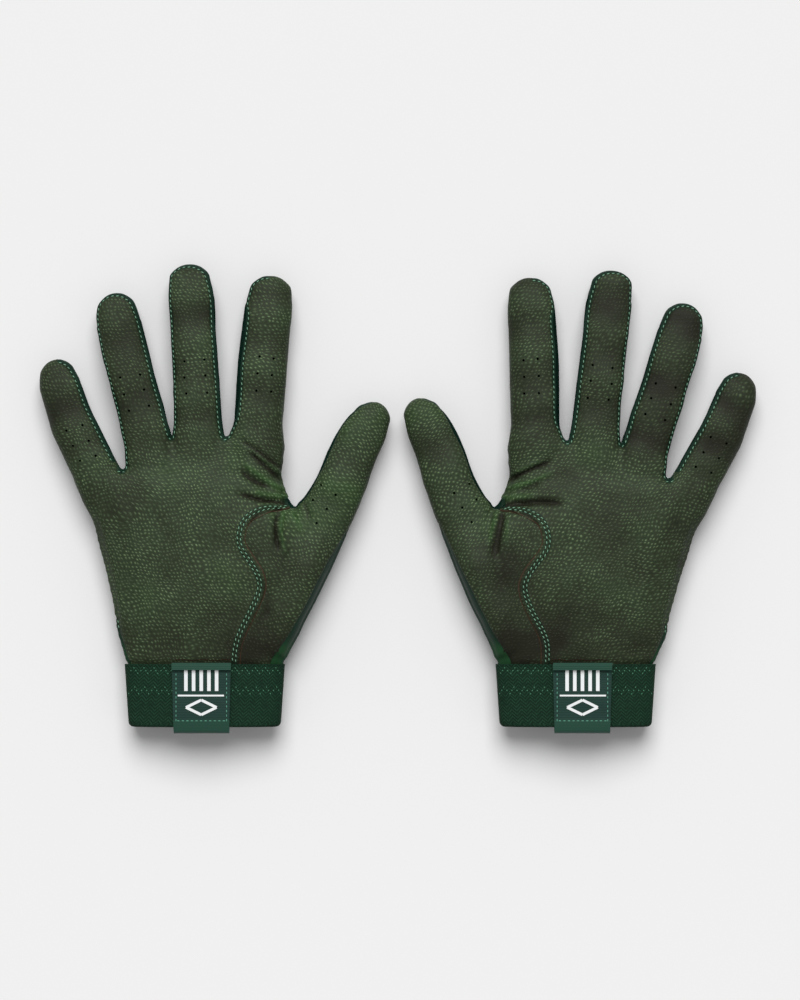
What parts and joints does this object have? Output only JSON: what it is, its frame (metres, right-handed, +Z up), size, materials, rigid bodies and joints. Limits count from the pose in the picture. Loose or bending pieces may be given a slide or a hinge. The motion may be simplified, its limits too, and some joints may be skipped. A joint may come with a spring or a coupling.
{
  "type": "batting glove",
  "caption": "Pair of batting gloves, palms up, with textured leather palms, elastic cuffs, pull tabs and hook-and-loop wrist straps.",
  "frame": {"origin": "centre of the pair's footprint, on the surface that the gloves lie on", "axes": "+X to the right across the pair as seen from the palm side, from the right-hand glove to the left-hand glove; +Y from the cuffs to the fingertips; +Z up, out of the palms"},
  "size_m": [0.3472, 0.2284, 0.0262],
  "materials": {
    "palm_leather": "matte, embossed with raised flecks",
    "back_synthetic": "smooth semi-gloss synthetic leather",
    "stretch_knit": "fine stretch knit",
    "cuff_elastic": "herringbone woven elastic",
    "tab_webbing": "satin woven webbing",
    "hook_tape": "moulded hook tape",
    "loop_tape": "brushed loop tape"
  },
  "bodies": {
    "right_glove": {"right_palm_panel": "palm_leather", "right_thumb_panel": "palm_leather", "right_backhand_panel": "back_synthetic", "right_knuckle_panel": "stretch_knit", "right_index_back": "back_synthetic", "right_middle_back": "back_synthetic", "right_ring_back": "back_synthetic", "right_little_back": "back_synthetic", "right_thumb_back": "back_synthetic", "right_index_middle_fourchette": "stretch_knit", "right_middle_ring_fourchette": "stretch_knit", "right_ring_little_fourchette": "stretch_knit", "right_thumb_gusset": "stretch_knit", "right_cuff_band": "cuff_elastic", "right_pull_tab": "tab_webbing", "right_strap_anchor": "back_synthetic", "right_loop_pad": "loop_tape"},
    "right_strap": {"right_closure_strap": "back_synthetic", "right_hook_pad": "hook_tape"},
    "left_glove": {"left_palm_panel": "palm_leather", "left_thumb_panel": "palm_leather", "left_backhand_panel": "back_synthetic", "left_knuckle_panel": "stretch_knit", "left_index_back": "back_synthetic", "left_middle_back": "back_synthetic", "left_ring_back": "back_synthetic", "left_little_back": "back_synthetic", "left_thumb_back": "back_synthetic", "left_index_middle_fourchette": "stretch_knit", "left_middle_ring_fourchette": "stretch_knit", "left_ring_little_fourchette": "stretch_knit", "left_thumb_gusset": "stretch_knit", "left_cuff_band": "cuff_elastic", "left_pull_tab": "tab_webbing", "left_strap_anchor": "back_synthetic", "left_loop_pad": "loop_tape"},
    "left_strap": {"left_closure_strap": "back_synthetic", "left_hook_pad": "hook_tape"}
  },
  "joints": [
    {"name": "right_strap_hinge", "type": "hinge", "parent": "right_glove", "child": "right_strap", "pos_m": [-0.12387, -0.09545, 0.00204], "axis": [0, 1, 0], "range_deg": [0, 160]},
    {"name": "left_strap_hinge", "type": "hinge", "parent": "left_glove", "child": "left_strap", "pos_m": [0.11633, -0.09545, 0.00204], "axis": [0, -1, 0], "range_deg": [0, 160]},
    {"name": "left_glove_slide", "type": "slide", "parent": "right_glove", "child": "left_glove", "axis": [1, 0, 0], "range_m": [0, 0.1]}
  ]
}
